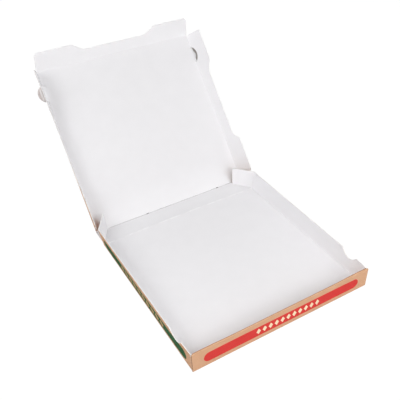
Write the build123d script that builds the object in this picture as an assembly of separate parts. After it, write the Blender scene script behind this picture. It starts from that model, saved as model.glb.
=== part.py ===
from build123d import *
import os
from math import cos, radians, sin, sqrt, tan

# A one-piece box of thin corrugated board, standing open with its lid leaning back.
# X runs to the right along the front wall, Y towards the lid and Z up. The origin is the
# centre of the floor's underside. The board is kraft outside and white inside, and each
# fold turns about the line where the outer faces of its two panels meet. The panels' inner
# edges are mitred there, so that a fold can close to a right angle.
# Lengths are in millimetres and angles in degrees.

# Board and folds
board = 1.5
fold_gap = 0.1  # from a fold line to the end of each panel that swings about it
score_depth = 0.4  # pressed line between the floor and the rear wall
score_radius = 1.0

# Tray
tray_width = 330.0
tray_depth = 330.0
side_height = 41.0
front_height = 38.0
rear_wall_height = 41.0  # lies flat on the table, behind the floor
rear_wall_inset = 1.5  # each end of the rear wall, in from the tray's side
right_leans = (0.0, 1.5, 5.0)  # lean of the right wall at the front, behind the scoop and at the rear
left_leans = (2.5, 7.0, 9.0)
front_end_gap = 0.3  # from the folded-over inner front panel to each side wall
front_tab_length = 45.0  # tab of each side wall, held inside the double front wall
front_tab_drop = 4.0  # top of that tab, below the top of the front wall

# Vent scoop in the top edge of each side wall
scoop_setback = 44.0  # from the front face to the scoop's centre
scoop_half_width = 20.0
scoop_bottom = 27.7  # height of its lowest point
scoop_shoulder = 5.0  # how far its curve stays level at the top
scoop_bowl = 12.0  # how far its curve stays level at the bottom

# Rear corner tabs, on the rear ends of the side walls
tab_foot_width = 43.5
tab_top_width = 46.0
tab_edge_height = 37.5  # top of the free edge
tab_corner_radius = 3.0
tab_foot_gap = 0.3  # over the rear wall, with the tab swung as far out as it goes
tab_widest = 22.5  # least fold of a tab, where it meets the leaning lid
right_tab_fold = 37.5
left_tab_fold = 30.0

# Lid
lid_side_gap = 1.5  # each side of the closed lid, inside the tray's width
lid_front_gap = 0.5  # closed lid to the inner front panel
lid_angle = 130.5  # from the floor to the lid; 90 is upright

# Lid flaps
ear_depth = 38.5
waist_depth = 25.0
flap_corner_radius = 4.0
front_waist_depth = 24.0
front_flap_fold = 45.0
right_flap_fold = 70.0
left_flap_fold = 76.0
front_flap_inset = 1.0  # each end of the front flap, in from the lid's edge
front_ear_length = 71.0  # full-depth part of each ear on the front flap
front_ear_curve = 30.0  # length of the curve from ear to waist
front_flap_taper = 0.5
side_front_inset = 2.0  # side flaps stop this far short of the front fold
side_front_taper = 3.0  # more at their free edge
side_rear_inset = 6.0
side_rear_taper = 4.0
side_front_ear = 71.0  # ear length from the front end of the fold
side_rear_ear = 72.0
side_ear_curve_front = 22.0
side_ear_curve_rear = 19.0

# Half-moon vents at the lid's side folds
vent_setback = 44.5  # from the lid's front fold to the vent's centre
vent_chord = 33.0
vent_rise = 11.0
vent_gap = 0.45  # round the tongue, inside its hole
root_gap = 0.2  # beyond one board's thickness, at each end of the tongue's root

# Worked out from the sizes above
front_wall_depth = 3 * board
hinge_y = tray_depth / 2 + rear_wall_height
lid_width = tray_width - 2 * lid_side_gap
lid_depth = tray_depth - front_wall_depth - lid_front_gap
vent_radius = (vent_chord**2 / 4 + vent_rise**2) / (2 * vent_rise)
vent_centre_inset = vent_radius - vent_rise
clear_reach = 2 * max(tray_width, tray_depth)  # longer than any cut has to be


def fold_cut():
    """The corner taken off a panel that lies at y > 0, beside a fold along x."""
    reach = 2 * board
    corner = Polygon(
        (-reach, -reach),
        (fold_gap - reach, -reach),
        (fold_gap + reach, reach),
        (-reach, reach),
        align=None,
    )
    return extrude(Plane.YZ * corner, clear_reach / 2, both=True)


def front_wall():
    """Outer panel, rounded fold and inner panel, with the space between them that holds the tabs."""
    fold_radius = front_wall_depth / 2
    centre_y = -tray_depth / 2 + fold_radius
    straight = front_height - fold_radius

    def arch(radius):
        leg = Pos(centre_y, straight / 2) * Rectangle(2 * radius, straight)
        return leg + Pos(centre_y, straight) * Circle(radius)

    profile = arch(fold_radius) - arch(fold_radius - board)
    inner_half = tray_width / 2 - board - front_end_gap
    folded = extrude(Plane.YZ * profile, inner_half, both=True)
    outer = Pos(0, -tray_depth / 2 + board / 2, straight / 2) * Box(tray_width, board, straight)
    return folded + outer


def front_tab(lean):
    """The right wall's front tab, between the two panels of the front wall."""
    top = front_height - front_tab_drop
    root = tray_width / 2 - board
    outline = Polygon(
        (root - front_tab_length, board),
        (root, board),
        (root + top * tan(radians(lean)), top),
        (root - front_tab_length, top),
        align=None,
    )
    behind_outer_panel = Plane.XZ.offset(tray_depth / 2 - board)
    return extrude(behind_outer_panel * outline, -board)


def wall_section(y, height, lean):
    """Section of the right wall across Y, leaning out from the floor's edge."""
    up = Vector(sin(radians(lean)), cos(radians(lean)))
    inward = Vector(-up.Y, up.X)
    foot = Vector(tray_width / 2, 0)
    corners = [foot, foot + up * height, foot + up * height + inward * board, foot + inward * board]
    outline = Polygon(*[(corner.X, corner.Y) for corner in corners], align=None)
    return Plane.XZ.offset(-y) * outline


def side_wall(leans):
    """The right wall, twisting from its front corner to its rear end, with its front tab."""
    front_y = -tray_depth / 2 + board
    scoop_rear_y = -tray_depth / 2 + scoop_setback + scoop_half_width
    rear_y = tray_depth / 2
    stations = [
        wall_section(front_y, front_height, leans[0]),
        wall_section(scoop_rear_y, side_height, leans[1]),
        wall_section(rear_y, side_height, leans[2]),
    ]
    wall = loft(stations, ruled=True)
    rear_end = rear_fold_plane(leans[2]) * Rot(0, 0, 90) * fold_cut()
    return wall - rear_end + front_tab(leans[0])


def scoop():
    """Cuts the vent scoops out of both side walls at once."""
    centre = -tray_depth / 2 + scoop_setback
    front, rear = centre - scoop_half_width, centre + scoop_half_width
    over = side_height + board
    down = Bezier(
        (front, side_height),
        (front + scoop_shoulder, side_height),
        (centre - scoop_bowl, scoop_bottom),
        (centre, scoop_bottom),
    )
    up = Bezier(
        (centre, scoop_bottom),
        (centre + scoop_bowl, scoop_bottom),
        (rear - scoop_shoulder, side_height),
        (rear, side_height),
    )
    lid_line = Polyline((rear, side_height), (rear, over), (front, over), (front, side_height))
    return extrude(Plane.YZ * make_face(down + up + lid_line), tray_width, both=True)


def rear_fold_plane(lean):
    """Plane of the right rear fold: x inward from the wall, y up the fold, z backwards."""
    up = Vector(sin(radians(lean)), 0, cos(radians(lean)))
    inward = Vector(-up.Z, 0, up.X)
    return Plane(origin=(tray_width / 2, tray_depth / 2, 0), x_dir=inward, z_dir=inward.cross(up))


def tray():
    """Floor, double front wall, side walls and the rear wall that lies flat behind the floor."""
    floor = Pos(0, 0, board / 2) * Box(tray_width, tray_depth, board)
    rear_width = tray_width - 2 * rear_wall_inset
    rear_wall = Pos(0, tray_depth / 2, 0) * Box(
        rear_width, rear_wall_height, board, align=(Align.CENTER, Align.MIN, Align.MIN)
    )
    rear_wall -= Pos(0, hinge_y, 0) * Rot(0, 0, 180) * fold_cut()
    score_line = Pos(0, tray_depth / 2, board - score_depth + score_radius) * Rot(0, 90, 0)
    score = score_line * Cylinder(score_radius, clear_reach)
    right_wall = side_wall(right_leans)
    left_wall = mirror(side_wall(left_leans), about=Plane.YZ)
    return floor + rear_wall - score + front_wall() + right_wall + left_wall - scoop()


def rear_tab(lean, fold):
    """The right rear corner tab, drawn in line with its wall and folded inward about its end."""
    lift = sin(radians(tab_widest)) * sin(radians(lean))

    def foot(width):
        return (board + tab_foot_gap - width * lift) / cos(radians(lean))

    outline = Polygon(
        (0, foot(0)),
        (tab_foot_width, foot(tab_foot_width)),
        (tab_top_width, tab_edge_height),
        (0, side_height),
        align=None,
    )
    free_corner = outline.vertices().sort_by(Axis.X)[-1]
    outline = fillet(free_corner, tab_corner_radius)
    inner_side = extrude(outline, -board)
    tab = inner_side - Rot(180, 0, 0) * Rot(0, 0, -90) * fold_cut()
    up = Vector(sin(radians(lean)), 0, cos(radians(lean)))
    corner = Vector(tray_width / 2, tray_depth / 2, 0)
    in_line = Plane(origin=corner, x_dir=(0, 1, 0), z_dir=Vector(0, 1, 0).cross(up))
    return (in_line * tab).rotate(Axis(corner, up), fold)


def eared_flap(low_end, high_end, low_ear, high_ear, curves, waist, tapers):
    """Face of a flap at y > 0, deep at its two ears and shallower along its waist.

    Each end leans in by its taper. Each ear ends where the curve down to the waist starts.
    """
    low_tip, high_tip = low_end + tapers[0], high_end - tapers[1]
    low_waist, high_waist = low_ear + curves[0], high_ear - curves[1]
    to_waist = Bezier(
        (low_ear, ear_depth),
        (low_ear + curves[0] / 2, ear_depth),
        (low_waist - curves[0] / 2, waist),
        (low_waist, waist),
    )
    from_waist = Bezier(
        (high_waist, waist),
        (high_waist + curves[1] / 2, waist),
        (high_ear - curves[1] / 2, ear_depth),
        (high_ear, ear_depth),
    )
    start = Polyline((low_end, 0), (low_tip, ear_depth), (low_ear, ear_depth))
    middle = Line((low_waist, waist), (high_waist, waist))
    end = Polyline((high_ear, ear_depth), (high_tip, ear_depth), (high_end, 0), (low_end, 0))
    face = make_face(start + to_waist + middle + from_waist + end)
    tips = face.vertices().group_by(Axis.Y)[-1].sort_by(Axis.X)
    return fillet([tips[0], tips[-1]], flap_corner_radius)


def vent_disc(radius):
    """Disc of the right vent, whose edge crosses the fold along the lid's right side."""
    centre_x = lid_width / 2 - vent_centre_inset
    return Pos(centre_x, lid_depth - vent_setback) * Circle(radius)


def vent_tongue():
    """Half-moon that stays in the lid's plane, with a root narrow enough for the flap to pass."""
    hole_half = sqrt((vent_radius + vent_gap) ** 2 - vent_centre_inset**2)
    root_half = hole_half - board - root_gap
    root_reach = 2 * board
    band = Pos(lid_width / 2 - root_reach, lid_depth - vent_setback) * Rectangle(
        vent_chord, 2 * root_half, align=(Align.MIN, Align.CENTER)
    )
    return extrude(vent_disc(vent_radius) & band, board)


def lid():
    """The lid lying flat, its hinge along y = 0 and its kraft face down."""
    panel = Box(lid_width, lid_depth, board, align=(Align.CENTER, Align.MIN, Align.MIN))
    panel -= fold_cut()
    panel -= Pos(0, lid_depth) * Rot(0, 0, 180) * fold_cut()
    panel -= Pos(lid_width / 2, 0) * Rot(0, 0, 90) * fold_cut()
    panel -= Pos(-lid_width / 2, 0) * Rot(0, 0, -90) * fold_cut()
    return panel + vent_tongue() + mirror(vent_tongue(), about=Plane.YZ)


def side_flap(fold):
    """The lid's right flap, drawn flat beside the lid and folded inward about the lid's edge."""
    fold_line = Pos(lid_width / 2, 0) * Rot(0, 0, -90)
    front_end, rear_end = -(lid_depth - side_front_inset), -side_rear_inset
    face = eared_flap(
        front_end,
        rear_end,
        front_end + side_front_ear,
        rear_end - side_rear_ear,
        (side_ear_curve_front, side_ear_curve_rear),
        waist_depth,
        (side_front_taper, side_rear_taper),
    )
    face = fold_line * face - vent_disc(vent_radius + vent_gap)
    flap = extrude(face, board) - fold_line * fold_cut()
    return flap.rotate(Axis((lid_width / 2, 0, 0), (0, -1, 0)), fold)


def front_flap():
    """The lid's front flap, drawn flat beyond the lid and folded inward."""
    half = lid_width / 2 - front_flap_inset
    ear_end = half - front_ear_length
    face = eared_flap(
        -half,
        half,
        -ear_end,
        ear_end,
        (front_ear_curve, front_ear_curve),
        front_waist_depth,
        (front_flap_taper, front_flap_taper),
    )
    flap = Pos(0, lid_depth) * (extrude(face, board) - fold_cut())
    return flap.rotate(Axis((0, lid_depth, 0), (1, 0, 0)), front_flap_fold)


# The lid's plane at rest: x to the right, y up the lid and z out of its white inner face
lean_back = radians(lid_angle)
lid_plane = Plane(
    origin=(0, hinge_y, 0), x_dir=(1, 0, 0), z_dir=(0, -sin(lean_back), -cos(lean_back))
)

nodes = {
    "tray": tray(),
    "lid": lid_plane * lid(),
    "lid_front_flap": lid_plane * front_flap(),
    "lid_right_flap": lid_plane * side_flap(right_flap_fold),
    "lid_left_flap": lid_plane * mirror(side_flap(left_flap_fold), about=Plane.YZ),
    "right_rear_tab": rear_tab(right_leans[2], right_tab_fold),
    "left_rear_tab": mirror(rear_tab(left_leans[2], left_tab_fold), about=Plane.YZ),
}

os.makedirs("parts", exist_ok=True)
for name, shape in nodes.items():
    export_step(shape, f"parts/{name}.step")
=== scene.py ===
import math

import bpy
from mathutils import Matrix, Vector


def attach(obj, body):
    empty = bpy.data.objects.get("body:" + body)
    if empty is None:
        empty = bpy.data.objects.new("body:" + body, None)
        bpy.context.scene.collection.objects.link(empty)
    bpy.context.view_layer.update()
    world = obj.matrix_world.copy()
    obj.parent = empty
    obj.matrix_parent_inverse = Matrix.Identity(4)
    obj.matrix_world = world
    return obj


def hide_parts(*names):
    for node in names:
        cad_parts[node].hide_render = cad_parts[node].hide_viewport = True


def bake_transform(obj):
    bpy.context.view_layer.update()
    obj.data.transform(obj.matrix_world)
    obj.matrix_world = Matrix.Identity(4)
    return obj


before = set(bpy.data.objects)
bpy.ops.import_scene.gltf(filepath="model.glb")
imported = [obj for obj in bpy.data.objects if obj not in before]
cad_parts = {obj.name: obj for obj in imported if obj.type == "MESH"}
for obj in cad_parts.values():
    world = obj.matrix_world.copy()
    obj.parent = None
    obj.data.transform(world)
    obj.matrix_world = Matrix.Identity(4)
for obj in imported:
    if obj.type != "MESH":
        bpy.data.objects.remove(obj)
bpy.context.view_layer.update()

# The camera stands in front of the box and to its left, and looks down into it.
# Its place, turn and lens are those at which the box's edges fall as in the photograph.
azimuth, elevation, roll = math.radians(28.97), math.radians(36.8), math.radians(-2.34)
aim = Vector((0.0542, 0.1896, 0))
distance = 1.1807
lens_mm, sensor_mm = 52.66, 36
forward = Vector((math.sin(azimuth) * math.cos(elevation), math.cos(azimuth) * math.cos(elevation),
                  -math.sin(elevation)))
right = Vector((math.cos(azimuth), -math.sin(azimuth), 0))
level = Matrix((right, right.cross(forward), -forward)).transposed()
bpy.ops.object.select_all(action="DESELECT")
bpy.ops.object.camera_add()
camera = bpy.context.object
camera.matrix_world = (Matrix.Translation(aim - distance * forward)
                       @ (level @ Matrix.Rotation(roll, 3, "Z")).to_4x4())
camera.data.lens = lens_mm
camera.data.sensor_width = sensor_mm
bpy.context.scene.camera = camera

# The paper of the board: unbleached kraft outside and a white-coated liner inside.
# Both show short fibres, slow mottling and, faintly, the ribs of the fluting they are glued to.
flute_pitch = 0.0032
mottle_scale, fibre_scale = 38.0, 1500.0
fibre_stretch = (0.35, 1.0, 1.0)
fibre_height = 0.35  # beside a rib's height of 1
wave_pitch = 2 * math.pi / 20  # of a wave texture at a scale of 1


def socket_group(name, inputs, outputs):
    """A shader node group with these named inputs and outputs, and its two end nodes."""
    group = bpy.data.node_groups.new(name, "ShaderNodeTree")
    for label, kind in inputs:
        group.interface.new_socket(label, in_out="INPUT", socket_type=kind)
    for label, kind in outputs:
        group.interface.new_socket(label, in_out="OUTPUT", socket_type=kind)
    return group, group.nodes.new("NodeGroupInput"), group.nodes.new("NodeGroupOutput")


def add_node(tree, kind, inputs=(), **settings):
    """A node with its settings, whose sockets take either a value or a link from another socket."""
    node = tree.nodes.new("ShaderNode" + kind)
    for key, value in settings.items():
        setattr(node, key, value)
    for key, value in dict(inputs).items():
        if isinstance(value, bpy.types.NodeSocket):
            tree.links.new(value, node.inputs[key])
        else:
            node.inputs[key].default_value = value
    return node


def calculate(tree, operation, a, b=0.0, c=0.0, clamp=False):
    """One Math node's result."""
    node = add_node(tree, "Math", {0: a, 1: b, 2: c}, operation=operation, use_clamp=clamp)
    return node.outputs[0]


def mix_colour(tree, share, low, high):
    """The colour that lies this share of the way from the low one to the high one."""
    node = add_node(tree, "Mix", data_type="RGBA")
    for place, value in (("Factor_Float", share), ("A_Color", low), ("B_Color", high)):
        port = next(p for p in node.inputs if p.identifier == place)
        if isinstance(value, bpy.types.NodeSocket):
            tree.links.new(value, port)
        else:
            port.default_value = value
    return next(p for p in node.outputs if p.identifier == "Result_Color")


def srgb(red, green, blue):
    """A colour written as 0 to 255, as the shader takes it."""
    def linear(value):
        value /= 255
        return value / 12.92 if value <= 0.04045 else ((value + 0.055) / 1.055) ** 2.4
    return (linear(red), linear(green), linear(blue), 1)


paper, given, result = socket_group(
    "paper", [("Blank", "NodeSocketVector")],
    [("Mottle", "NodeSocketFloat"), ("Fibre", "NodeSocketFloat"), ("Rib", "NodeSocketFloat"),
     ("Height", "NodeSocketFloat")])
cloudy = add_node(paper, "TexNoise", {"Vector": given.outputs["Blank"], "Scale": mottle_scale,
                                      "Detail": 3.0})
stretched = add_node(paper, "Mapping", {"Vector": given.outputs["Blank"], "Scale": fibre_stretch})
fibres = add_node(paper, "TexNoise", {"Vector": stretched.outputs[0], "Scale": fibre_scale,
                                      "Detail": 4.0, "Roughness": 0.7})
ribs = add_node(paper, "TexWave", {"Vector": given.outputs["Blank"], "Scale": wave_pitch / flute_pitch,
                                   "Distortion": 0.6, "Detail Scale": 0.4}, bands_direction="Y")
height = calculate(paper, "MULTIPLY_ADD", fibres.outputs[0], fibre_height, ribs.outputs["Fac"])
for label, source in (("Mottle", cloudy.outputs[0]), ("Fibre", fibres.outputs[0]),
                      ("Rib", ribs.outputs["Fac"]), ("Height", height)):
    paper.links.new(source, result.inputs[label])


def new_material(name):
    """An empty material, its tree, and its surface shader."""
    material = bpy.data.materials.new(name)
    material.use_nodes = True
    tree = material.node_tree
    return material, tree, tree.nodes["Principled BSDF"]


fibre_weight, mottle_weight, darkest = 1.6, 0.8, -0.6  # of the mix from dark paper to light
relief_depth = 0.0002


def lay_paper(tree, shader, dark, light, rib_shade, bump):
    """Fibres and ribs on a liner of the board; gives the colour and the paper's group node."""
    blank = add_node(tree, "UVMap").outputs[0]
    grain = add_node(tree, "Group", node_tree=paper)
    tree.links.new(blank, grain.inputs["Blank"])
    share = calculate(tree, "MULTIPLY_ADD", grain.outputs["Fibre"], fibre_weight, darkest)
    share = calculate(tree, "MULTIPLY_ADD", grain.outputs["Mottle"], mottle_weight, share, clamp=True)
    colour = mix_colour(tree, share, dark, light)
    rib = calculate(tree, "MULTIPLY", grain.outputs["Rib"], rib_shade)
    colour = mix_colour(tree, rib, colour, dark)
    relief = add_node(tree, "Bump", {"Strength": bump, "Distance": relief_depth,
                                     "Height": grain.outputs["Height"]})
    tree.links.new(relief.outputs[0], shader.inputs["Normal"])
    return colour, blank, grain


white_dark, white_light = srgb(236, 235, 237), srgb(242, 241, 243)
kraft_dark, kraft_light = srgb(194, 148, 113), srgb(216, 174, 141)


def white(name):
    """White-coated liner; gives the material and what a score is laid over."""
    material, tree, shader = new_material(name)
    colour, blank, grain = lay_paper(tree, shader, white_dark, white_light, rib_shade=0.15, bump=0.08)
    tree.links.new(colour, shader.inputs["Base Color"])
    shader.inputs["Roughness"].default_value = 0.62
    shader.inputs["Specular IOR Level"].default_value = 0.35
    return material, tree, shader, colour, blank, grain


def kraft(name):
    """Bare kraft; gives the material and what a print is laid over."""
    material, tree, shader = new_material(name)
    colour, blank, grain = lay_paper(tree, shader, kraft_dark, kraft_light, rib_shade=0.3, bump=0.3)
    tree.links.new(colour, shader.inputs["Base Color"])
    shader.inputs["Roughness"].default_value = 0.8
    shader.inputs["Specular IOR Level"].default_value = 0.25
    return material, tree, shader, colour, blank, grain


white_liner = white("white_liner")[0]
kraft_liner = kraft("kraft_liner")[0]

# The cut edge of the board: two thin liners with the wave of the fluting between them.
# Most cut edges are white; those round the vents are painted dark as shade. The front wall's are
# kraft, painted dark as shade but along its foot.
wave_reach = 0.3  # either side of the middle, as a share of the board's thickness
paper_half = 0.16  # half the thickness that the waved paper shows in the cut
liner_start = 0.36  # how far from the middle the two liners begin


def cut_board(name, hollow, layers):
    """A cut edge, from the colours of its hollows and of its layers of paper.

    Gives the material, its tree and shader, the place on the blank and the colour.
    """
    material, tree, shader = new_material(name)
    blank = add_node(tree, "UVMap").outputs[0]
    ply = add_node(tree, "Attribute", attribute_name="ply").outputs["Fac"]
    place = add_node(tree, "SeparateXYZ", {0: blank})
    run = calculate(tree, "ADD", place.outputs[0], place.outputs[1])
    wave = calculate(tree, "SINE", calculate(tree, "MULTIPLY", run, 2 * math.pi / flute_pitch))
    middle = calculate(tree, "MULTIPLY_ADD", wave, wave_reach, 0.5)
    from_wave = calculate(tree, "ABSOLUTE", calculate(tree, "SUBTRACT", ply, middle))
    paper_line = calculate(tree, "LESS_THAN", from_wave, paper_half)
    from_middle = calculate(tree, "ABSOLUTE", calculate(tree, "SUBTRACT", ply, 0.5))
    liners = calculate(tree, "GREATER_THAN", from_middle, liner_start)
    shown = calculate(tree, "MAXIMUM", paper_line, liners)
    colour = mix_colour(tree, shown, hollow, layers)
    tree.links.new(colour, shader.inputs["Base Color"])
    shader.inputs["Roughness"].default_value = 0.9
    shader.inputs["Specular IOR Level"].default_value = 0.2
    return material, tree, shader, place, colour


cut_edge = cut_board("cut_edge", srgb(232, 227, 224), srgb(249, 248, 247))[0]
# The front wall's kraft cut edge, painted dark as the shade in the gaps beside it, and plain kraft at
# its foot.
shaded_kraft_edge, tree, shader, place, colour = cut_board("shaded_kraft_edge", srgb(92, 66, 54),
                                                      srgb(150, 112, 90))
unshaded_foot = 0.0045
at_foot = calculate(tree, "LESS_THAN", place.outputs[1], unshaded_foot)
tree.links.new(mix_colour(tree, at_foot, colour, srgb(190, 146, 112)), shader.inputs["Base Color"])

# The red band on the front wall's kraft and the green one on the side walls', with round ends.
# Each has a row of plain lozenges in another colour along its middle.
uneven_print = 0.0006
print_edge = 4000.0  # how steeply a mask rises across its border, per metre
lozenge_edge = 12.0


def band(tree, blank, centre, half_length, half_height, grain):
    """Mask of a round-ended printed field on the blank, its edge a little uneven, as flexo print is."""
    place = add_node(tree, "SeparateXYZ", {0: blank})
    along = calculate(tree, "ABSOLUTE", calculate(tree, "SUBTRACT", place.outputs[0], centre[0]))
    beyond = calculate(tree, "MAXIMUM", calculate(tree, "SUBTRACT", along, half_length - half_height))
    across = calculate(tree, "SUBTRACT", place.outputs[1], centre[1])
    reach = calculate(tree, "SQRT", calculate(tree, "ADD", calculate(tree, "POWER", beyond, 2.0),
                                              calculate(tree, "MULTIPLY", across, across)))
    uneven = calculate(tree, "MULTIPLY_ADD", grain.outputs["Fibre"], uneven_print, reach)
    inside = calculate(tree, "SUBTRACT", half_height + uneven_print / 2, uneven)
    return calculate(tree, "MULTIPLY", inside, print_edge, clamp=True), place, across


def lozenges(tree, place, across, start, pitch, count, half_width, half_height):
    """Mask of a row of lozenges along a band."""
    along = calculate(tree, "SUBTRACT", place.outputs[0], start)
    number = calculate(tree, "FLOOR", calculate(tree, "DIVIDE", along, pitch))
    middle = calculate(tree, "MULTIPLY_ADD", number, pitch, pitch / 2)
    within = calculate(tree, "SUBTRACT", along, middle)
    wide = calculate(tree, "DIVIDE", calculate(tree, "ABSOLUTE", within), half_width)
    high = calculate(tree, "DIVIDE", calculate(tree, "ABSOLUTE", across), half_height)
    inside = calculate(tree, "SUBTRACT", 1.0, calculate(tree, "ADD", wide, high))
    mask = calculate(tree, "MULTIPLY", inside, lozenge_edge, clamp=True)
    first = calculate(tree, "GREATER_THAN", number, -0.5)
    last = calculate(tree, "LESS_THAN", number, count - 0.5)
    return calculate(tree, "MULTIPLY", mask, calculate(tree, "MULTIPLY", first, last))


full_cover, thinned = 1.08, -0.2


def ink(tree, paper_colour, mask, ink_colour, grain):
    """Ink over paper, thinner where the fibres stand up."""
    cover = calculate(tree, "MULTIPLY_ADD", grain.outputs["Fibre"], thinned, full_cover, clamp=True)
    return mix_colour(tree, calculate(tree, "MULTIPLY", mask, cover), paper_colour, ink_colour)


red_front, tree, shader, colour, blank, grain = kraft("kraft_with_red_band")
mask, place, across = band(tree, blank, centre=(0.0, 0.0185), half_length=0.1465, half_height=0.0098,
                           grain=grain)
row = lozenges(tree, place, across, start=-0.056, pitch=0.0112, count=11, half_width=0.0042,
               half_height=0.0062)
colour = ink(tree, colour, mask, srgb(206, 50, 48), grain)
colour = mix_colour(tree, row, colour, srgb(240, 220, 186))

# Where the board turns over the top of the wall, a thin reddish line of painted shade lies along its
# crest.
crest_shade_at, crest_shade_half, crest_shade_share = 0.0405, 0.0014, 0.6
soft_edge = 1500.0
top_line = calculate(tree, "ABSOLUTE", calculate(tree, "SUBTRACT", place.outputs[1], crest_shade_at))
top_line = calculate(tree, "SUBTRACT", crest_shade_half, top_line)
top_line = calculate(tree, "MULTIPLY", top_line, soft_edge, clamp=True)
colour = mix_colour(tree, calculate(tree, "MULTIPLY", top_line, crest_shade_share), colour, srgb(170, 106, 78))
tree.links.new(colour, shader.inputs["Base Color"])

green_side, tree, shader, colour, blank, grain = kraft("kraft_with_green_band")
mask, place, across = band(tree, blank, centre=(0.0015, 0.0178), half_length=0.1497,
                           half_height=0.0114, grain=grain)
row = lozenges(tree, place, across, start=-0.080, pitch=0.016, count=10, half_width=0.0072,
               half_height=0.0088)
colour = ink(tree, colour, mask, srgb(2, 76, 34), grain)
colour = mix_colour(tree, row, colour, srgb(190, 156, 110))
tree.links.new(colour, shader.inputs["Base Color"])

# The floor of the tray and the rear wall, which lies flat behind it, are one stretch of board.
# The crease between them is a bead on the white side, lifted a little off the table mid-length.
board = 0.0015
tray_width = 0.330
tray_depth = 0.330
crease = 0.0035  # from a fold line to the end of the strip of board that bends
rear_wall_reach = 0.041
rear_y = tray_depth / 2
hinge_y = rear_y + rear_wall_reach
rear_half = tray_width / 2 - board
floor_half = tray_width / 2 - crease
jump = 0.00002  # between the two columns where the outline of a sheet steps in or out
smooth_under = math.radians(35)


def spread(start, end, count):
    """Evenly spaced values from start to end, both included."""
    return [start + (end - start) * i / count for i in range(count + 1)]


def sheet(name, near, far, root, count, fold, outside, body, materials):
    """A panel of board between two cut lines of the flat blank, folded into place.

    near and far hold pairs of (along, across) points. root holds distances from the near line
    that stay the same along it, and count even steps follow. The mesh starts as the outer face.
    """
    columns = len(root) + count
    bpy.ops.object.select_all(action="DESELECT")
    bpy.ops.mesh.primitive_grid_add(x_subdivisions=columns - 1, y_subdivisions=len(near) - 1, size=1)
    piece = bpy.context.object
    piece.name = name
    blank_places = []
    for corner in piece.data.vertices:
        i = round((corner.co.x + 0.5) * (columns - 1))
        j = round((corner.co.y + 0.5) * (len(near) - 1))
        a, b = Vector(near[j]), Vector(far[j])
        reach = (b - a).length
        if i < len(root):
            step = root[i]
        else:
            step = root[-1] + (reach - root[-1]) * (i - len(root) + 1) / count
        spot = a + (b - a) * (step / reach)
        blank_places.append(spot)
        corner.co = fold(spot.x, spot.y)
    unwrap = piece.data.uv_layers.active.data
    for loop in piece.data.loops:
        unwrap[loop.index].uv = blank_places[loop.vertex_index]
    piece.data.update()
    facing = sum((face.normal * face.area for face in piece.data.polygons), Vector())
    if facing.dot(Vector(outside)) < 0:
        bpy.ops.object.mode_set(mode="EDIT")
        bpy.ops.mesh.select_all(action="SELECT")
        bpy.ops.mesh.flip_normals()
        bpy.ops.object.mode_set(mode="OBJECT")
    for material in materials:
        piece.data.materials.append(material)
    one_side = len(piece.data.vertices)
    thicken = piece.modifiers.new("board", "SOLIDIFY")
    thicken.thickness = board
    thicken.offset = -1
    thicken.material_offset = 1
    thicken.material_offset_rim = 2
    bpy.ops.object.modifier_apply(modifier="board")
    ply = piece.data.attributes.new("ply", "FLOAT", "POINT")
    ply.data.foreach_set("value", [float(i >= one_side) for i in range(len(piece.data.vertices))])
    bpy.ops.object.shade_smooth_by_angle(angle=smooth_under)
    if isinstance(body, str):
        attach(piece, body)
    else:
        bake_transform(piece)
    return piece


plain = (kraft_liner, white_liner, cut_edge)
wander, wander_scale = 0.0016, 90.0
break_contrast = 7.0
crisp_edge = 2500.0
nick_half, nick_stretch = 0.0016, 0.6


def scored(name, axis, line, half_width, painted_tone, cover, nicks=()):
    """White liner with a broken score line of painted light or shade across one axis of the blank, and
    nicks along it painted dark as shade.
    """
    material, tree, shader, colour, blank, grain = white(name)
    place = add_node(tree, "SeparateXYZ", {0: blank})
    noise = add_node(tree, "TexNoise", {"Vector": blank, "Scale": wander_scale, "Detail": 2.0})
    shift = calculate(tree, "MULTIPLY_ADD", noise.outputs[0], wander, line - wander / 2)
    off = calculate(tree, "ABSOLUTE", calculate(tree, "SUBTRACT", place.outputs[axis], shift))
    mask = calculate(tree, "SUBTRACT", half_width, off)
    mask = calculate(tree, "MULTIPLY", mask, crisp_edge, clamp=True)
    broken = calculate(tree, "MULTIPLY_ADD", grain.outputs["Mottle"], break_contrast,
                       cover - break_contrast / 2, clamp=True)
    colour = mix_colour(tree, calculate(tree, "MULTIPLY", mask, broken), colour, painted_tone)
    # Each nick is a dark dot of painted shade.
    for nick in nicks:
        away = calculate(tree, "ABSOLUTE", calculate(tree, "SUBTRACT", place.outputs[1 - axis], nick))
        away = calculate(tree, "MAXIMUM", calculate(tree, "MULTIPLY", away, nick_stretch), off)
        dot = calculate(tree, "SUBTRACT", nick_half, away)
        dot = calculate(tree, "MULTIPLY", dot, crisp_edge, clamp=True)
        colour = mix_colour(tree, dot, colour, srgb(56, 48, 46))
    tree.links.new(colour, shader.inputs["Base Color"])
    return material


# A broken line of painted highlight runs along the crease's bead.
floor_liner = scored("white_liner_of_floor", axis=0, line=rear_y, half_width=0.0009,
                     painted_tone=srgb(252, 252, 253), cover=0.6)
crease_lift, lift_half, lift_spread = 0.0018, 0.150, 0.016
bead_height, bead_spread = 0.0004, 0.0009


def floor_place(y, x):
    """A point of the outer face of the floor and rear wall."""
    mid = max(0.0, 1 - (x / lift_half) ** 2)
    lifted = crease_lift * mid * math.exp(-(((y - rear_y) / lift_spread) ** 2))
    bead = bead_height * math.exp(-(((y - rear_y) / bead_spread) ** 2))
    return Vector((x, y, lifted + bead))


rows = spread(-tray_depth / 2 + crease, rear_y - crease, 80)
near = [(y, -floor_half) for y in rows]
far = [(y, floor_half) for y in rows]
rows = spread(rear_y - crease + jump, rear_y + crease, 28)
rows += spread(rear_y + crease, hinge_y - crease, 12)[1:]
near += [(y, -rear_half) for y in rows]
far += [(y, rear_half) for y in rows]
floor = sheet("floor_and_rear_wall", near, far, [0.0], 66, floor_place, (0, 0, -1), "tray",
              (kraft_liner, floor_liner, cut_edge))
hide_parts("tray")

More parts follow.
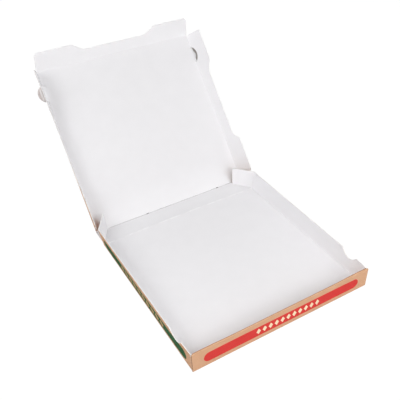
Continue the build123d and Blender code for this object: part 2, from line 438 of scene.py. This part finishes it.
# The side walls stand on folds along the floor's edges and lean outward, more so towards the rear.
# Each has a vent scoop in its top edge and the green band on its kraft face.
side_height = 0.041
front_height = 0.038
scoop_y = -tray_depth / 2 + 0.044
scoop_half = 0.020
scoop_bottom = 0.0277
scoop_shoulder, scoop_floor = 0.005, 0.012  # handles of its S-curves at the top and at the bottom
wall_foot = 0.0024  # height of what is left of a wall under its corner tab's fold
fold_radius = 0.002
front_y = -tray_depth / 2 + board


def bend(distance, turn, radius=fold_radius):
    """Where a point lies beside a rounded fold: how far out and how far up from the fold line."""
    tangent = radius * math.tan(turn / 2)
    if distance <= -tangent:
        return distance, 0.0
    if distance >= tangent:
        return distance * math.cos(turn), distance * math.sin(turn)
    angle = turn * (distance + tangent) / (2 * tangent)
    return radius * math.sin(angle) - tangent, radius * (1 - math.cos(angle))


def fold_steps(turn):
    """Distances from the start of a strip, a crease before its fold, to the columns of the fold."""
    tangent = fold_radius * math.tan(turn / 2)
    return [0.0] + [crease + step for step in spread(-tangent, tangent, 8)]


def lean_at(y, leans):
    """Lean of a side wall in radians, from its degrees in front, behind the scoop and at the rear."""
    scoop_rear = scoop_y + scoop_half
    if y < scoop_rear:
        share = (y - front_y) / (scoop_rear - front_y)
        return math.radians(leans[0] + (leans[1] - leans[0]) * share)
    share = (y - scoop_rear) / (rear_y - scoop_rear)
    return math.radians(leans[1] + (leans[2] - leans[1]) * share)


def wall_top(leans):
    """Points (y, distance up the wall) along the top edge, with the scoop's two S-curves."""
    scoop_rear = scoop_y + scoop_half

    def plain_height(y):
        share = min(1.0, (y - front_y) / (scoop_rear - front_y))
        return front_height + (side_height - front_height) * share

    def bezier(t, p0, p1, p2, p3):
        return p0 * (1 - t) ** 3 + 3 * p1 * t * (1 - t) ** 2 + 3 * p2 * t * t * (1 - t) + p3 * t**3

    before, half_curve = 12, 18
    points = [(y, plain_height(y)) for y in spread(front_y + board, scoop_y - scoop_half, before)[:-1]]
    for side in (-1, 1):
        for t in spread(0, 1, half_curve):
            t = t if side < 0 else 1 - t
            y = scoop_y + side * bezier(t, scoop_half, scoop_half - scoop_shoulder, scoop_floor, 0)
            z = bezier(t, side_height, side_height, scoop_bottom, scoop_bottom)
            points.append((y, min(z / math.cos(lean_at(y, leans)), plain_height(y))))
    points.pop(before + half_curve)
    points += [(y, side_height) for y in spread(scoop_rear, rear_y - crease, 90)[1:]]
    points += [(y, wall_foot) for y in spread(rear_y - crease + jump, rear_y, 4)]
    return points


def side_wall(name, side, leans):
    """A side wall with the curve of its fold at the floor; side is -1 at the left."""
    def place(y, d):
        lean = lean_at(y, leans)
        out, up = bend(d, math.pi / 2 - lean)
        return Vector((side * (tray_width / 2 + out), y, up))

    top = wall_top(leans)
    near = [(y, -crease) for y, d in top]
    sheet(name, near, top, fold_steps(math.pi / 2), 14, place, (side, 0, 0), "tray",
          (green_side, white_liner, cut_edge))


right_leans = (0.0, 1.5, 5.0)
left_leans = (2.5, 7.0, 9.0)
side_wall("right_wall", 1, right_leans)
side_wall("left_wall", -1, left_leans)

# Each side wall ends at the front in a tab, folded in behind the outer front panel.
tab_reach = 0.045
tab_top = 0.034
layer_gap = 0.0003  # between two layers of board
tab_start = -0.0016  # where the curve starts, just behind the wall's front end
tab_curve = 0.0036  # length of the curve between the wall and its tab
tab_shift = 0.0001  # between a tab and the front wall's outer panel


def front_tab(name, side, lean):
    """The curve at the front end of a side wall, and the tab held inside the front wall."""
    def place(z, a):
        out, inward = bend(a, math.pi / 2, board + layer_gap)
        lean_out = z * math.tan(math.radians(lean))
        return Vector((side * (tray_width / 2 - inward + lean_out), front_y - out + tab_shift, z))

    heights = spread(board + layer_gap, tab_top, 6)
    near = [(z, tab_start) for z in heights]
    far = [(z, tab_reach) for z in heights]
    sheet(name, near, far, spread(0, tab_curve, 8), 6, place, (side, -1, 0), "tray", plain)


front_tab("right_front_tab", 1, right_leans[0])
front_tab("left_front_tab", -1, left_leans[0])

# The front wall is folded over on itself: an outer panel that carries the red band, a round top,
# and an inner panel, a little narrower, that stands on the floor with the side walls' tabs inside it.
front_half = tray_width / 2
folded_half = front_half - board - layer_gap
pinched_radius, full_radius = 0.0017, 1.5 * board
pinch_half, pinch_fade = 0.095, 0.040


def top_radius(x):
    """The fold's outer radius: pinched mid-length, and open near the corners, where the tabs lie."""
    share = min(1.0, max(0.0, (abs(x) - pinch_half) / pinch_fade))
    share = share * share * (3 - 2 * share)
    return pinched_radius + (full_radius - pinched_radius) * share


outer_rise = front_height - full_radius
over_top = outer_rise + math.pi * full_radius
inner_foot = over_top + outer_rise - board


def front_place(x, d):
    """A point of the front wall's outer face, up, over the top and down inside."""
    radius = top_radius(x)
    rise = front_height - radius
    front = -tray_depth / 2
    if d <= outer_rise:
        stretch = rise / outer_rise
        out, up = bend(min(d, d * stretch), math.pi / 2)
        return Vector((x, front - out, up * (stretch if d > fold_radius else 1)))
    if d <= over_top:
        angle = math.pi * (d - outer_rise) / (over_top - outer_rise)
        return Vector((x, front + radius * (1 - math.cos(angle)), rise + radius * math.sin(angle)))
    share = (d - over_top) / (inner_foot - over_top)
    depth = 2 * radius + (3 * board - 2 * radius) * share
    return Vector((x, front + depth, rise + (board - rise) * share))


wide_share = 0.42  # of the turn over the top, before the outline steps in to the inner panel
step_down = outer_rise + wide_share * (over_top - outer_rise)
rises = ([-crease] + spread(-fold_radius, fold_radius, 4) + spread(2 * fold_radius, outer_rise, 12)
         + spread(outer_rise, step_down, 8)[1:] + spread(step_down + jump, over_top, 8)
         + spread(over_top, inner_foot, 8)[1:])
flare = 0.0012  # of the outer panel's corners at its top
near = [(-(front_half + flare * max(0.0, d) / step_down if d <= step_down else folded_half), d)
        for d in rises]
far = [(-x, d) for x, d in near]
sheet("front_wall", near, far, [0.0], 120, front_place, (0, -1, 0), "tray",
      (red_front, white_liner, shaded_kraft_edge))

# The rear corner tabs stand on folds at the rear ends of the side walls, swung part way in.
tab_foot_width = 0.0435
tab_top_width = 0.046
tab_edge_height = 0.0375
tab_corner = 0.003
tab_widest = math.radians(22.5)
twist_start = 0.01  # from the fold to where the twist is full
strip_middle = 0.02  # height up the fold


def rear_tab(side_name, side, lean_degrees, fold_degrees, twist):
    """A rear corner tab and the strip that bends between it and its wall.

    The twist is in radians of turn gained for each metre up.
    """
    lean, turn = math.radians(lean_degrees), math.radians(fold_degrees)
    corner = Vector((side * tray_width / 2, rear_y, 0))
    up = Vector((side * math.sin(lean), 0, math.cos(lean)))
    inward = Vector((-side * math.cos(lean), 0, math.sin(lean)))

    def place(a, h):
        out, into = bend(a, turn + twist * max(0.0, h) * min(1.0, max(0.0, a / twist_start)))
        return corner + up * h + Vector((0, out, 0)) + inward * into

    def foot(a):
        lift = math.sin(tab_widest) * math.sin(lean)
        return (board + layer_gap - max(0.0, a) * lift) / math.cos(lean)

    def top(a):
        return side_height + (tab_edge_height - side_height) * max(0.0, a) / tab_top_width

    body = side_name + "_rear_tab"
    tangent = fold_radius * math.tan(turn / 2)
    steps = [-crease] + spread(-tangent, tangent, 8) + [crease]
    sheet(side_name + "_tab_fold", [(a, foot(a)) for a in steps], [(a, top(a)) for a in steps],
          [0.0], 10, place, (side, 0, 0),
          ("tray", body, place(-crease, strip_middle), place(crease, strip_middle)), plain)
    shares = spread(0, 1, 12)
    round_off = [1 - tab_corner * (1 - math.sin(angle)) / tab_top_width
                 for angle in spread(0, math.pi / 2, 6)]
    shares = [s for s in shares if s < round_off[0]] + round_off
    near, far = [], []
    for s in shares:
        a_foot = crease + (tab_foot_width - crease) * s
        a_top = crease + (tab_top_width - crease) * s
        q = min(1.0, (1 - s) * tab_top_width / tab_corner)
        cut = tab_corner * (1 - math.sqrt(max(0.0, 1 - (1 - q) ** 2)))
        near.append((a_foot, foot(a_foot)))
        far.append((a_top, top(a_top) - cut))
    tab = sheet(side_name + "_tab", near, far, [0.0], 14, place, (side, 0.5, 0), body, plain)
    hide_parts(body)


rear_tab("right", 1, right_leans[2], fold_degrees=37.5, twist=0.0)
rear_tab("left", -1, left_leans[2], fold_degrees=30.0, twist=1.6)

# The lid leans back on a fold along the rear wall's edge. Two half-moon tongues at its sides
# stay near its plane, where the flaps' vent holes are cut round them. Painted shade, in one place
# tinted by light off the kraft, lies on its liner.
lid_half = tray_width / 2 - board
lid_slack, root_gap = 0.0005, 0.0002
lid_depth = tray_depth - 3 * board - lid_slack
lid_angle = math.radians(130.5)
up_lid = Vector((0, -math.cos(lid_angle), math.sin(lid_angle)))
off_lid = Vector((0, -math.sin(lid_angle), -math.cos(lid_angle)))
vent_from_front = 0.0445
vent_u = lid_depth - vent_from_front
vent_chord = 0.033
vent_rise = 0.011
vent_radius = (vent_chord**2 / 4 + vent_rise**2) / (2 * vent_rise)
vent_inset = vent_radius - vent_rise
vent_gap = 0.00045
hole_half = math.sqrt((vent_radius + vent_gap) ** 2 - vent_inset**2)
root_half = hole_half - board - root_gap
tongue_flat, tongue_curl = 0.003, 0.0085
lid_bow, bow_sharpness = 0.0021, 8
flap_rear, flap_gap = 0.006, 0.002
flap_front = lid_depth - flap_gap


def on_lid(x, u, n=0.0):
    """A point x across, u up and n above the outer face of the lid."""
    return Vector((x, hinge_y, 0)) + up_lid * u + off_lid * n


def lid_place(u, x):
    """The lid's outer face, bowed back very slightly between its folds, most in its upper half."""
    across = max(0.0, 1 - (x / (lid_half - crease)) ** bow_sharpness)
    along = u / lid_depth * (1 - (u / lid_depth) ** bow_sharpness)
    rolled = max(0.0, abs(x) - lid_half - tongue_flat)
    turn = rolled / tongue_curl
    out = math.copysign(abs(x) - rolled + tongue_curl * math.sin(turn), x)
    return on_lid(out, u, -lid_bow * across * along - tongue_curl * (1 - math.cos(turn)))


lid_turn = math.pi - lid_angle


def hinge_place(x, d):
    """A point of the strip that bends between the rear wall and the lid."""
    out, up = bend(d, lid_turn)
    return Vector((x, hinge_y + out, up))


# A broken line of painted shade along the hinge's crease, and two nicks painted dark as shade.
hinge_liner = scored("white_liner_of_hinge", axis=1, line=0.0, half_width=0.0011,
                     painted_tone=srgb(142, 138, 136), cover=1.2, nicks=(-0.0556, 0.1044))
across = spread(-lid_half, lid_half, 60)
sheet("lid_fold", [(x, -crease) for x in across], [(x, crease) for x in across],
      fold_steps(lid_turn), 1, hinge_place, (0, 0.5, -1),
      ("tray", "lid", (0, hinge_y - crease, 0), on_lid(0, crease)),
      (kraft_liner, hinge_liner, cut_edge))

tongue = []
half_angle = math.asin(root_half / vent_radius)
for angle in spread(-half_angle, half_angle, 20):
    tongue.append((vent_u + vent_radius * math.sin(angle),
                   lid_half + vent_radius * math.cos(angle) - vent_inset))

# On the left tongue, painted shade: a thin dark line and, further out, a greyish strip.
lid_liner, tree, shader, colour, blank = white("white_liner_of_lid")[:5]
place = add_node(tree, "SeparateXYZ", {0: blank})
strip_at, line_at, line_half = 0.0058, 0.0026, 0.0006  # beyond the lid's edge
strip_shade = calculate(tree, "SUBTRACT", -(lid_half + strip_at), place.outputs[1])
strip_shade = calculate(tree, "MULTIPLY", strip_shade, soft_edge, clamp=True)
colour = mix_colour(tree, strip_shade, colour, srgb(212, 205, 205))
dark_line = calculate(tree, "ABSOLUTE", calculate(tree, "ADD", place.outputs[1], lid_half + line_at))
dark_line = calculate(tree, "SUBTRACT", line_half, dark_line)
dark_line = calculate(tree, "MULTIPLY", dark_line, crisp_edge, clamp=True)
colour = mix_colour(tree, dark_line, colour, srgb(170, 160, 160))

# On the right, painted shade: a grey crescent along the tongue's round edge.
crescent_width, crescent_edge, tongue_root = 0.0085, 400.0, 0.001
along = calculate(tree, "SUBTRACT", place.outputs[0], vent_u)
beyond = calculate(tree, "SUBTRACT", place.outputs[1], lid_half - vent_inset)
reach = calculate(tree, "SQRT", calculate(tree, "ADD", calculate(tree, "POWER", along, 2.0),
                                          calculate(tree, "POWER", beyond, 2.0)))
crescent_shade = calculate(tree, "SUBTRACT", reach, vent_radius - crescent_width)
crescent_shade = calculate(tree, "MULTIPLY", crescent_shade, crescent_edge, clamp=True)
on_tongue = calculate(tree, "GREATER_THAN", place.outputs[1], lid_half + tongue_root)
colour = mix_colour(tree, calculate(tree, "MULTIPLY", crescent_shade, on_tongue), colour, srgb(158, 152, 150))

# Painted shade, tinted brown as light thrown back from the tab's kraft, at the foot of the left edge
# beside the corner tab. It fades upward and inward.
pocket_shade_height, pocket_shade_width = 0.030, 0.014
fade_up, fade_in = 55.0, 160.0
low = calculate(tree, "SUBTRACT", pocket_shade_height, place.outputs[0])
low = calculate(tree, "MULTIPLY", low, fade_up, clamp=True)
outermost = calculate(tree, "SUBTRACT", pocket_shade_width - lid_half, place.outputs[1])
outermost = calculate(tree, "MULTIPLY", outermost, fade_in, clamp=True)
colour = mix_colour(tree, calculate(tree, "MULTIPLY", low, outermost), colour, srgb(204, 176, 164))
tree.links.new(colour, shader.inputs["Base Color"])

# The lid's cut edge, painted dark grey as the shade round the tongues.
shaded_vent_edge = cut_board("shaded_vent_edge", srgb(110, 102, 98), srgb(150, 142, 138))[0]
edge = [(u, lid_half) for u in spread(crease, flap_rear, 2)]
edge += [(u, lid_half - crease) for u in spread(flap_rear + jump, vent_u - root_half - jump, 90)]
edge += tongue
edge += [(u, lid_half - crease) for u in spread(vent_u + root_half + jump, lid_depth - crease, 14)]
near = [(u, -x) for u, x in edge]
lid = sheet("lid_panel", near, edge, [0.0], 120, lid_place, -off_lid, "lid",
            (kraft_liner, lid_liner, shaded_vent_edge))
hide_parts("lid")

# The lid's flaps tuck inside the tray when it is shut. Each is deepest at its two rounded ears
# and shallower along its waist. They stand part folded, the left one almost square to the lid.
ear = 0.0385
fan = 0.03  # length of fold over which the columns of a flap spread out to its tapered end
dark_half, dark_depth = 0.018, 0.0125  # the part of the blank where a cut edge belongs to the hole


def flap_faces(name, hollow, layers):
    """The three materials of a flap, its cut edge painted dark as shade round the vent hole."""
    edge_material, tree, shader, place, colour = cut_board(name, hollow, layers)
    beside = calculate(tree, "ABSOLUTE", calculate(tree, "SUBTRACT", place.outputs[0], vent_u))
    vent_hole_shade = calculate(tree, "MULTIPLY", calculate(tree, "LESS_THAN", beside, dark_half),
                        calculate(tree, "LESS_THAN", place.outputs[1], dark_depth))
    tree.links.new(mix_colour(tree, vent_hole_shade, colour, srgb(56, 52, 52)), shader.inputs["Base Color"])
    return kraft_liner, white_liner, edge_material


def eared_edge(low_end, high_end, low_ear, high_ear, curves, waist, tapers, ear_corner):
    """Points (along, depth) of a flap's free edge, from its low end to its high end."""
    def s_curve(start, length, from_depth, to_depth):
        return [(start + length * t, from_depth + (to_depth - from_depth) * t * t * (3 - 2 * t))
                for t in spread(0, 1, 16)]

    low_tip, high_tip = low_end + tapers[0], high_end - tapers[1]
    points = [(low_tip + ear_corner * (1 - math.cos(a)), ear - ear_corner * (1 - math.sin(a)))
              for a in spread(0, math.pi / 2, 8)]
    points += [(p, ear) for p in spread(low_tip + ear_corner, low_ear, 20)[1:-1]]
    points += s_curve(low_ear, curves[0], ear, waist)
    points += [(p, waist) for p in spread(low_ear + curves[0], high_ear - curves[1], 44)[1:-1]]
    points += s_curve(high_ear - curves[1], curves[1], waist, ear)
    points += [(p, ear) for p in spread(high_ear, high_tip - ear_corner, 20)[1:-1]]
    points += [(high_tip - ear_corner * (1 - math.cos(a)), ear - ear_corner * (1 - math.sin(a)))
               for a in spread(math.pi / 2, 0, 8)]
    return points


def fold_line_points(free, low_end, high_end, tapers):
    """Points of the fold straight below each point of the free edge, spread out to the ends."""
    low_tip, high_tip = low_end + tapers[0], high_end - tapers[1]
    points = []
    for p, d in free:
        near_low = max(0.0, 1 - (p - low_tip) / fan)
        near_high = max(0.0, 1 - (high_tip - p) / fan)
        points.append(p - (tapers[0] * near_low - tapers[1] * near_high))
    return points


untwisted_u = 0.23  # where along a side flap its fold has just the angle given


def side_flap(side_name, side, fold_degrees, twist_degrees, faces):
    """A side flap with its vent hole, and the strips that bend between it and the lid.

    The twist is what its rear end is folded beyond the angle given; its front end lags behind it.
    """
    turn, twist = math.radians(fold_degrees), math.radians(twist_degrees)
    body = f"lid_{side_name}_flap"

    def place(u, v):
        out, up = bend(v, turn + twist * (1 - u / untwisted_u))
        return on_lid(side * (lid_half + out), u, up)

    tapers = (0.004, 0.003)
    free = eared_edge(flap_rear, flap_front, low_ear=flap_rear + 0.072, high_ear=flap_front - 0.063,
                      curves=(0.019, 0.030), waist=0.025, tapers=tapers, ear_corner=0.004)
    fold_us = fold_line_points(free, flap_rear, flap_front, tapers)
    hole_at_strip = math.sqrt((vent_radius + vent_gap) ** 2 - (vent_inset + crease) ** 2)
    limit = math.asin(hole_at_strip / (vent_radius + vent_gap))
    near, far = [], []
    hole_done = False
    for u, (p, d) in zip(fold_us, free):
        if abs(u - vent_u) >= hole_at_strip:
            near.append((u, crease))
            far.append((p, d))
        elif not hole_done:
            for angle in spread(-limit, limit, 20):
                at = vent_u + (vent_radius + vent_gap) * math.sin(angle)
                near.append((at, (vent_radius + vent_gap) * math.cos(angle) - vent_inset))
                far.append((at, ear))
            hole_done = True
    outside = (side * math.sin(turn), 0.3, -0.3)
    flap = sheet(body + "_panel", near, far, [0.0], 16, place, outside, body, faces)
    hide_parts(body)
    steps = fold_steps(turn)
    fold_end = min(flap_front, lid_depth - crease)
    for label, by_lid, by_flap, count in (
            ("rear", (flap_rear, vent_u - hole_half), (flap_rear, vent_u - hole_at_strip), 40),
            ("front", (vent_u + hole_half, fold_end), (vent_u + hole_at_strip, fold_end), 8)):
        near = [(u, -crease) for u in spread(*by_lid, count)]
        far = [(u, crease) for u in spread(*by_flap, count)]
        sheet(f"{body}_{label}_fold", near, far, steps, 1, place, outside,
              ("lid", body, place(vent_u, -crease), place(vent_u, crease)), plain)


# Cut edges of the flaps: the right and front ones painted lighter as lit, the left one painted grey as
# shade.
lit_edge = (srgb(252, 251, 251), srgb(254, 254, 254))
shaded_edge = (srgb(222, 217, 215), srgb(234, 231, 230))
side_flap("right", 1, fold_degrees=70.0, twist_degrees=0.0,
          faces=flap_faces("right_flap_lit_edge", *lit_edge))
side_flap("left", -1, fold_degrees=76.0, twist_degrees=5.0,
          faces=flap_faces("left_flap_shaded_edge", *shaded_edge))

front_turn = math.radians(45.0)
flap_inset = 0.001
flap_half = lid_half - flap_inset


def front_flap_place(x, v):
    """A point of the front flap and of the strip that bends between it and the lid."""
    out, up = bend(v, front_turn)
    return on_lid(x, lid_depth + out, up)


tapers = (0.0005, 0.0005)
ear_reach = 0.071
free = eared_edge(-flap_half, flap_half, low_ear=-flap_half + ear_reach, high_ear=flap_half - ear_reach,
                  curves=(0.030, 0.030), waist=0.024, tapers=tapers, ear_corner=0.008)
fold_xs = fold_line_points(free, -flap_half, flap_half, tapers)
# The front flap's cut edge, painted lighter as lit.
front_lit_edge = cut_board("front_flap_lit_edge", *lit_edge)[0]
front_flap = sheet("lid_front_flap_panel", [(x, crease) for x in fold_xs], free, [0.0], 16,
                   front_flap_place, (0, 0.5, 1), "lid_front_flap",
                   (kraft_liner, white_liner, front_lit_edge))
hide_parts("lid_front_flap")
across = spread(-flap_half, flap_half, 60)
sheet("lid_front_fold", [(x, -crease) for x in across], [(x, crease) for x in across],
      fold_steps(front_turn), 1, front_flap_place, (0, 0.5, 1),
      ("lid", "lid_front_flap", on_lid(0, lid_depth - crease), front_flap_place(0, crease)), plain)

# A pale floor just under the box, and soft studio light from square lamps in front of it, at both
# sides and behind. The floor glows for the camera and keeps a little of the box's shadow.
floor_size, floor_drop = 8, 0.0002
bpy.ops.object.select_all(action="DESELECT")
bpy.ops.mesh.primitive_plane_add(size=floor_size, location=(0, 0, -floor_drop))
ground = bpy.context.object
ground.name = "studio_floor"
pale, tree, shader = new_material("studio_floor")
shader.inputs["Base Color"].default_value = (0.86, 0.86, 0.86, 1)
shader.inputs["Roughness"].default_value = 0.9
seen = add_node(tree, "LightPath")
glow = add_node(tree, "Emission", {"Color": (1, 1, 1, 1), "Strength": 1.04})
glow_share = 0.95  # the rest takes the box's shadow
share = calculate(tree, "MULTIPLY", seen.outputs["Is Camera Ray"], glow_share)
both = add_node(tree, "MixShader", {0: share, 1: shader.outputs[0], 2: glow.outputs[0]})
tree.links.new(both.outputs[0], tree.nodes["Material Output"].inputs["Surface"])
ground.data.materials.append(pale)

world = bpy.data.worlds.new("studio")
bpy.context.scene.world = world
world.use_nodes = True
tree = world.node_tree
background = tree.nodes["Background"]
seen = add_node(tree, "LightPath")
direct = calculate(tree, "MAXIMUM", seen.outputs["Is Camera Ray"], seen.outputs["Is Glossy Ray"])
direct = calculate(tree, "MAXIMUM", direct, seen.outputs["Is Transmission Ray"])
level_of_light = 0.015
tree.links.new(calculate(tree, "MULTIPLY_ADD", direct, 1 - level_of_light, level_of_light),
               background.inputs["Strength"])
background.inputs["Color"].default_value = (1, 1, 1, 1)

lit_place = Vector((0, 0.15, 0.06))
small, large = 0.6, 1.2


def lamp(name, place, size, watts):
    """A square soft box, turned to a place above the rear half of the tray."""
    bpy.ops.object.light_add(type="AREA", location=place)
    light = bpy.context.object
    light.name = name
    light.data.size = size
    light.data.energy = watts
    light.rotation_euler = (lit_place - Vector(place)).to_track_quat("-Z", "Y").to_euler()


lamp("front", (-0.2, -1.0, 0.9), small, watts=3.9)
lamp("low_front", (0, -1.1, 0.4), small, watts=2.8)
lamp("front_left", (-0.9, -0.9, 0.8), small, watts=0.9)
lamp("front_right", (0.5, -1.0, 0.8), small, watts=4.9)
lamp("left", (-1.0, -0.1, 0.8), small, watts=4.4)
lamp("high_left", (-1.3, 0.1, 2.0), large, watts=7.2)
lamp("right", (1.0, -0.1, 0.8), small, watts=2.2)
lamp("low_left", (-2.2, -0.3, 0.5), large, watts=3.8)
lamp("high_back", (0, 1.3, 1.9), large, watts=7.3)
lamp("back", (0, 2.3, 1.5), large, watts=16.5)

bpy.context.scene.view_settings.view_transform = "Standard"
